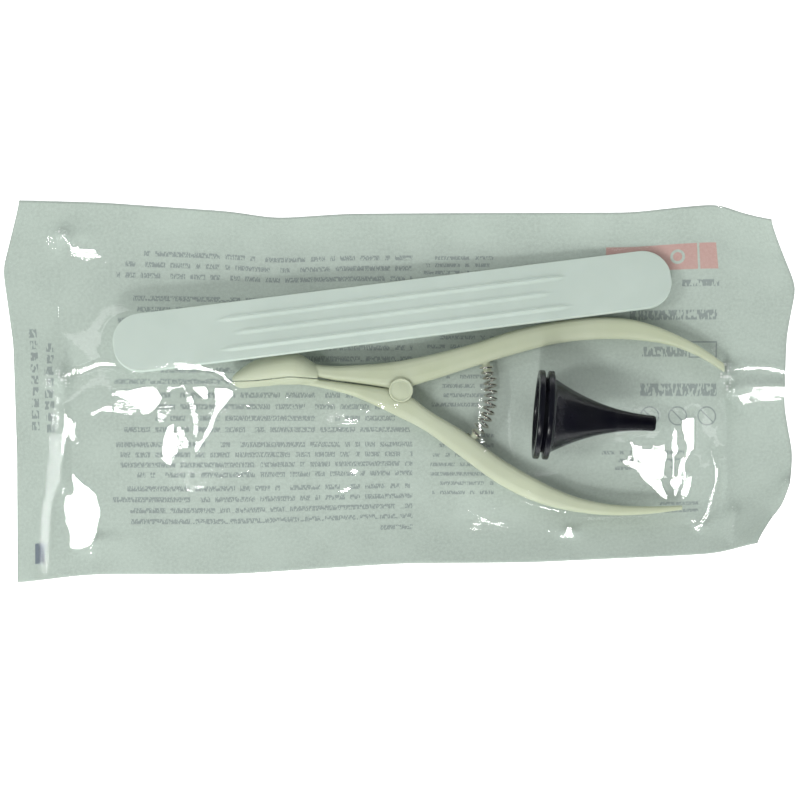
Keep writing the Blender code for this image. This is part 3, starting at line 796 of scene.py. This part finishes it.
# The crest of a taut fold in the film, as points in millimetres.
FOLD = (
    (-107.5, 4.5, 11), (-102.6, 6.6, 16.4), (-95, 9.8, 17.9), (-84, 9.6, 17.9), (-72, 9.8, 17.5),
    (-64, 8.8, 16.9), (-57, 6.6, 16), (-52, 2.5, 14.5),
)


def crest_height(x, y, line, reach):
    """The height of a crest over the points within reach of it, and 0 elsewhere."""
    crest = np.zeros(x.shape)
    for (ax, ay, az), (bx, by, bz) in zip(line, line[1:]):
        run_x, run_y = (bx - ax) * MM, (by - ay) * MM
        share = ((x - ax * MM) * run_x + (y - ay * MM) * run_y) / (run_x**2 + run_y**2)
        share = np.clip(share, 0, 1)
        away = np.hypot(x - ax * MM - share * run_x, y - ay * MM - share * run_y)
        crest = np.maximum(crest, np.where(away < reach, az + (bz - az) * share, 0))
    return crest * MM


def film_shape(us, vs, trees):
    """The film's height over the flat pouch, tented over the contents and crumpled, and the share of
    the crumpling that the sealed paper follows."""
    old = None
    for step, rounds in ((3.125 * MM, 900), (1.25 * MM, 500), (FILM_STEP, 300)):
        grid_us, grid_vs = sheet_grid(step) if step > FILM_STEP else (us, vs)
        u, v = np.meshgrid(grid_us, grid_vs, indexing="ij")
        x, y, paper = pouch_place(u, v)
        top = contents_height(x, y, trees)
        rest = paper + 0.12 * MM
        held = np.maximum(rest, np.where(top > 0, top + 0.3 * MM, 0))
        held = np.maximum(held, crest_height(x, y, FOLD, 0.7 * step))
        free = pocket_depth(u, v) > 0
        start = held if old is None else np.maximum(held, resampled(*old, grid_us, grid_vs))
        height = relaxed(start, held, free, rounds, rest, (step / CLING) ** 2 / 4)
        old = (height, grid_us, grid_vs)
    depth = pocket_depth(u, v)
    inset = np.clip(depth / (4 * MM), 0, 1)
    for number, (at_u, at_v, along, across, size, tall) in enumerate(CRUMPLES):
        away = ((u / MM - at_u) / along) ** 2 + ((v / MM - at_v) / across) ** 2
        share = np.clip(1.25 - away, 0, 1) * inset
        height += facets(u / MM, v / MM, size, number + 3) * tall * MM * share
    shaped = crumpled(height, x, y, held, free)
    fold = (shaped - height) * np.clip(1 - depth / (3 * MM), 0, 1)
    fold = np.maximum(fold, PAPER_THICK + 0.02 * MM - paper)
    fine = facets(u / MM, v / MM, 6.0, 40) * 0.04 * MM + facets(u / MM, v / MM, 3.1, 41) * 0.015 * MM
    shaped += fine * np.clip(0.35 + inset, 0, 1)
    held = np.maximum(paper + fold + 0.1 * MM, np.where(top > 0, top + 0.15 * MM, 0))
    mid_x, mid_y, half_x, half_y = CONE_AREA
    over_cone = (top > 0) & (np.abs(x - mid_x) < half_x) & (np.abs(y - mid_y) < half_y)
    for _ in range(4):
        soft = np.pad(shaped, 1, "edge")
        soft = sum(soft[i : i + x.shape[0], j : j + x.shape[1]] for i in range(3) for j in range(3)) / 9
        shaped = np.where(over_cone, soft, shaped)
        lack = np.maximum(held - shaped, 0)
        shaped += relaxed(lack, lack, free, 30)
    return x, y, np.maximum(shaped, held), fold


def pouch_film(look):
    """The film, and what its sealed folds add to the paper's height."""
    us, vs = sheet_grid(FILM_STEP)
    x, y, z, fold = film_shape(us, vs, contents_trees())
    u, v = np.meshgrid(us, vs, indexing="ij")
    points = np.stack([x, y, z], -1).reshape(-1, 3)
    film = mesh_piece("pouch_film", points, grid_faces(len(us), len(vs)), [look])
    give_flat_place(film, np.stack([u, v], -1).reshape(-1, 2))
    return film, (fold, us, vs)


# ------------------------ instruments

CONE_LENGTH = 38.1 * MM
CONE_START = 4.9 * MM
CONE_BACK = Vector((43.0 * MM, -7.4 * MM, 14.9 * MM))
CONE_FRAME = (
    Matrix.Translation(CONE_BACK)
    @ Matrix.Rotation(math.radians(-4.5), 4, "Z")
    @ Matrix.Rotation(math.radians(1.5), 4, "Y")
)


def cone_radius(along):
    """The trumpet's outer radius at a distance along the ear speculum."""
    share = (along - CONE_START) / (CONE_LENGTH - CONE_START)
    return (2.5 + 9.5 * (1 - share) ** 2.1) * MM


def rounded_rim(start, radius, neck, thick, corner, steps=5):
    """The outline of one flange rim: up from its neck, round both corners and down again."""
    outline = [(start, neck)]
    for k in range(steps + 1):
        turn = math.pi / 2 * k / steps
        outline.append((start + corner * (1 - math.cos(turn)), radius - corner + corner * math.sin(turn)))
    for k in range(steps + 1):
        turn = math.pi / 2 * (1 - k / steps)
        outline.append(
            (start + thick - corner * (1 - math.cos(turn)), radius - corner + corner * math.sin(turn))
        )
    return outline + [(start + thick, neck)]


def ear_cone(look):
    """The ear speculum: two rounded rims, a trumpet outside and a thin wall, open right through."""
    wall = 0.9 * MM
    outer = rounded_rim(0, 14.1 * MM, 11.5 * MM, 1.9 * MM, 0.45 * MM)[1:]
    outer += rounded_rim(3.0 * MM, 14.1 * MM, 12.3 * MM, 1.9 * MM, 0.45 * MM)
    stations = np.linspace(CONE_START, CONE_LENGTH - 0.7 * MM, 40)
    outer += [(x, cone_radius(x)) for x in stations[1:]]
    outer += [(CONE_LENGTH - 0.1 * MM, 2.1 * MM), (CONE_LENGTH, 2.0 * MM), (CONE_LENGTH, 1.65 * MM)]
    inner = [(x, cone_radius(x) - wall) for x in stations[::-1]]
    inner += [(1.0 * MM, 11.35 * MM), (0.2 * MM, 11.6 * MM), (0.0, 11.8 * MM)]
    count = 128
    turns = np.linspace(0, 2 * math.pi, count, endpoint=False)
    points = []
    for along, radius in outer + inner:
        for turn in turns:
            points.append(CONE_FRAME @ Vector((along, radius * math.sin(turn), radius * math.cos(turn))))
    faces = skin_faces(len(outer + inner), count, ring=True)
    piece = mesh_piece("ear_cone", points, faces, [look])
    piece.data.set_sharp_from_angle(angle=math.radians(50))
    return piece


DEPRESSOR_LENGTH, DEPRESSOR_WIDTH, DEPRESSOR_THICK = 179 * MM, 19.4 * MM, 1.6 * MM
DEPRESSOR_CORNER = 8.9 * MM
DEPRESSOR_FRAME = Matrix.LocRotScale(
    Vector((-2.2, 25.3, 8.7)) * MM, Euler([math.radians(a) for a in (-17, 2.9, 7.2)]), None
)
# Middle along and across, and length, of the ribs on the depressor, in millimetres.
RIBS = ((0.0, 4.1, 113), (0.0, -0.8, 103), (0.5, -5.9, 113))


def depressor(look):
    """The tongue depressor: a strip with round ends, eased edges and three ridges that run out."""
    half, wide, ease = DEPRESSOR_LENGTH / 2, DEPRESSOR_WIDTH / 2, 0.35 * MM
    turn = np.linspace(0, math.pi / 2, 26)
    ends = half - DEPRESSOR_CORNER + DEPRESSOR_CORNER * np.sin(turn)
    stations = np.concatenate([-ends[::-1], np.linspace(-ends[0], ends[0], 220)[1:-1], ends])
    across = np.sin(np.linspace(-math.pi / 2, math.pi / 2, 90))
    loops = []
    for x in stations:
        past = max(abs(x) - half + DEPRESSOR_CORNER, 0)
        reach = wide - DEPRESSOR_CORNER + math.sqrt(max(DEPRESSOR_CORNER**2 - past**2, 0))
        y = across * reach
        edge = np.minimum(reach - np.abs(y), half - abs(x) + 0.02 * MM)
        rise_up = DEPRESSOR_THICK / 2 - ease
        rise_up = rise_up + np.sqrt(np.maximum(ease**2 - np.maximum(ease - edge, 0) ** 2, 0))
        ridge = np.zeros(len(y))
        for middle, at, length in RIBS:
            run = np.clip((length / 2 - abs(x / MM - middle)) / 4, 0, 1)
            ridge = np.maximum(ridge, run * np.maximum(1 - np.abs(y / MM - at) / (0.4 + 0.55 * run), 0))
        top = np.stack([np.full(len(y), x), y, rise_up + 0.8 * MM * ridge], -1)
        low = np.stack([np.full(len(y), x), y, -rise_up], -1)[::-1]
        loops.append(np.concatenate([top, low]))
    points = [DEPRESSOR_FRAME @ Vector(p) for p in np.concatenate(loops)]
    faces = skin_faces(len(loops), len(loops[0]))
    return mesh_piece("depressor", points, [face[::-1] for face in faces], [look])


def rivet(look):
    """The pivot rivet, its upper head dished inside a raised rim."""
    top, base = 7.42 * MM, 0.6 * MM
    profile = [(0.0, base), (3.3, base), (3.7, base + 0.15 * MM), (3.85, base + 0.45 * MM)]
    profile += [(3.85, 1.5 * MM), (2.0, 1.5 * MM), (2.0, top), (3.85, top), (3.85, top + 0.55 * MM)]
    profile += [(3.78, top + 0.75 * MM), (3.6, top + 0.87 * MM), (3.4, top + 0.87 * MM)]
    profile += [(3.2, top + 0.72 * MM), (3.05, top + 0.62 * MM), (2.8, top + 0.62 * MM)]
    profile += [(2.0, top + 0.8 * MM), (1.0, top + 0.93 * MM), (0.0, top + 0.97 * MM)]
    count = 96
    turns = np.linspace(0, 2 * math.pi, count, endpoint=False)
    points, faces = [PIVOT + Vector((0, 0, base))], []
    for radius, z in profile[1:-1]:
        for turn in turns:
            points.append(PIVOT + Vector((radius * MM * math.cos(turn), radius * MM * math.sin(turn), z)))
    points.append(PIVOT + Vector((0, 0, profile[-1][1])))
    loops = len(profile) - 2
    for quad in skin_faces(loops, count, caps=False):
        faces.append(tuple(k + 1 for k in quad))
    last = len(points) - 1
    for k in range(count):
        n = (k + 1) % count
        faces.append((0, 1 + n, 1 + k))
        faces.append((last, last - count + k, last - count + n))
    piece = mesh_piece("rivet", points, faces, [look])
    piece.data.set_sharp_from_angle(angle=math.radians(50))
    return piece


# The spring's bowed centre line in millimetres: Y and X.
SPRING_LINE = ((7.4, 27.7), (3.5, 28.6), (-1.3, 29.0), (-5.4, 28.5), (-9.3, 27.0), (-14.3, 23.8))


def steel_spring(look):
    """The handle spring, wound about its bowed line, with its end turns closed up, as two halves that
    meet in the middle."""
    turns, per_turn, sides = 12, 40, 10
    wire, coil, middle = 0.34 * MM, 2.0 * MM, 4.55 * MM
    ys, xs = np.array(SPRING_LINE)[::-1].T
    bow = np.polyfit(ys, xs, 4)
    count = turns * per_turn + 1
    share = np.linspace(0, 1, count)
    share = share - 0.018 * np.sin(2 * math.pi * share)
    y = SPRING_LINE[0][0] + 0.5 + (SPRING_LINE[-1][0] - SPRING_LINE[0][0] - 1.2) * share
    line = np.stack([np.polyval(bow, y) * MM, y * MM, np.full(count, middle)], -1)
    along = np.gradient(line, axis=0)
    along /= np.linalg.norm(along, axis=1)[:, None]
    up = np.array([0.0, 0.0, 1.0])
    out = np.cross(along, up)
    turn = np.linspace(0, 2 * math.pi * turns, count)
    spoke = out * np.cos(turn)[:, None] + up * np.sin(turn)[:, None]
    path = line + spoke * coil
    way = np.gradient(path, axis=0)
    way /= np.linalg.norm(way, axis=1)[:, None]
    other = np.cross(way, spoke)
    other /= np.linalg.norm(other, axis=1)[:, None]
    across = np.cross(other, way)
    points = []
    for i in range(count):
        for k in range(sides):
            a = 2 * math.pi * k / sides
            points.append(path[i] + (across[i] * math.cos(a) + other[i] * math.sin(a)) * wire)
    half = count // 2
    faces = skin_faces(half + 1, sides)
    upper = mesh_piece("spring_upper_half", points[: (half + 1) * sides], faces, [look])
    lower = mesh_piece("spring_lower_half", points[half * sides :], faces, [look])
    return upper, lower, path[half]


# ------------------------ stage


def plain_floor():
    """A white table top that glows a little, so that it stays white under the soft light."""
    made, tree, output = new_material("white table")
    tone = ramp(tree, noise(tree, object_place(tree), 3.0, 2.0), 0.2, 0.8, 0.93, 0.97)
    values = {
        "Base Color": node(tree, "ShaderNodeCombineColor", {0: tone, 1: tone, 2: tone}),
        "Roughness": 0.9,
        "Specular IOR Level": 0.1,
        "Emission Color": (1, 1, 1, 1),
        "Emission Strength": 0.5,
    }
    principled(tree, output, values)
    points = [(-2, -2, 0), (2, -2, 0), (2, 2, 0), (-2, 2, 0)]
    floor = mesh_piece("white_table", points, [(0, 1, 2, 3)], [made])
    floor.location.z = -0.05 * MM


def softbox(name, place, size, energy, mirrored=True):
    light = bpy.data.lights.new(name, "AREA")
    light.shape = "RECTANGLE"
    light.size, light.size_y = size
    light.energy = energy
    lamp = bpy.data.objects.new(name, light)
    lamp.location = place
    lamp.visible_glossy = mirrored
    lamp.rotation_euler = (-place).to_track_quat("-Z", "Y").to_euler()
    bpy.context.collection.objects.link(lamp)


def studio():
    """A pale surround, darker overhead and in mirror images, two softboxes for the film's glints and
    a broad one from the near side."""
    world = bpy.data.worlds.new("studio")
    bpy.context.scene.world = world
    world.use_nodes = True
    tree = world.node_tree
    tree.nodes.clear()
    place = node(tree, "ShaderNodeTexCoord", output="Generated")
    parts = tree.nodes.new("ShaderNodeSeparateXYZ")
    tree.links.new(place, parts.inputs[0])
    bright = ramp(tree, parts.outputs[2], 0.60, 0.955, 1.27, 0.10)
    bright = calc(tree, "MULTIPLY", bright, ramp(tree, parts.outputs[1], -0.9, 0.9, 1.08, 1.0))
    mirrored = node(tree, "ShaderNodeLightPath", output="Is Glossy Ray")
    bright = calc(tree, "MULTIPLY", bright, calc(tree, "MULTIPLY_ADD", mirrored, -0.93, 1.0))
    back = node(tree, "ShaderNodeBackground", {"Color": (0.97, 0.985, 1.0, 1), "Strength": bright})
    output = tree.nodes.new("ShaderNodeOutputWorld")
    tree.links.new(back, output.inputs["Surface"])
    softbox("front", FRONT_LAMP, (0.17, 0.17), 4.0)
    softbox("side", SIDE_LAMP, (0.17, 0.17), 3.4)
    softbox("window", Vector((0.1, -1.15, 1.0)), (1.1, 0.7), 5.5, False)


def camera():
    lens = bpy.data.cameras.new("view")
    lens.sensor_width = 36
    seat = bpy.data.objects.new("view", lens)
    bpy.context.collection.objects.link(seat)
    lens.lens = lens.sensor_width * CAMERA_AT.z / VIEW_WIDTH
    seat.location = CAMERA_AT
    bpy.context.scene.camera = seat



def build():
    """Makes every visible piece, puts the paper and the instruments other than the spring on their bodies
    and hides the CAD parts that they replace.
    """
    inner = paper_material("medical paper inside", 0.52, (0.43, 0.483, 0.44))
    outer = paper_material("medical paper outside", 0.8, (0.66, 0.68, 0.66))
    cream = plastic_material("cream plastic", (0.52, 0.55, 0.42), (0.48, 0.51, 0.37), 0.42, 420.0, 0.25)
    white = plastic_material("white plastic", (0.57, 0.64, 0.59), (0.54, 0.61, 0.56), 0.42, 380.0, 0.2)

    film, folds = pouch_film(film_material())
    paper = pouch_paper(inner, outer, folds)
    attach(paper, "pouch")
    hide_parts("paper_backing")

    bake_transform(film)
    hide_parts("film_front")

    made = (
        (depressor(white), "tongue_depressor", "tongue_depressor", "white_plastic"),
        (moulded("speculum_upper", "upper_lever", cream), "upper_lever", "upper_lever", "cream_plastic"),
        (moulded("speculum_lower", "lower_lever", cream), "lower_lever", "lower_lever", "cream_plastic"),
        (ear_cone(black_material()), "ear_speculum", "ear_speculum", "black_plastic"),
        (rivet(cream), "nasal_speculum", "pivot_rivet", "cream_plastic"),
    )
    for piece, body, cad_node, finish in made:
        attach(piece, body)
        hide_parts(cad_node)

    upper, lower, middle = steel_spring(steel_material())
    ends = (upper, "upper_lever", SPRING_LINE[0]), (lower, "lower_lever", SPRING_LINE[-1])
    for half, lever, (end_y, end_x) in ends:
        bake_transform(half)
        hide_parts("handle_spring")


plain_floor()
studio()
camera()
build()
bpy.context.scene.view_settings.view_transform = "Standard"
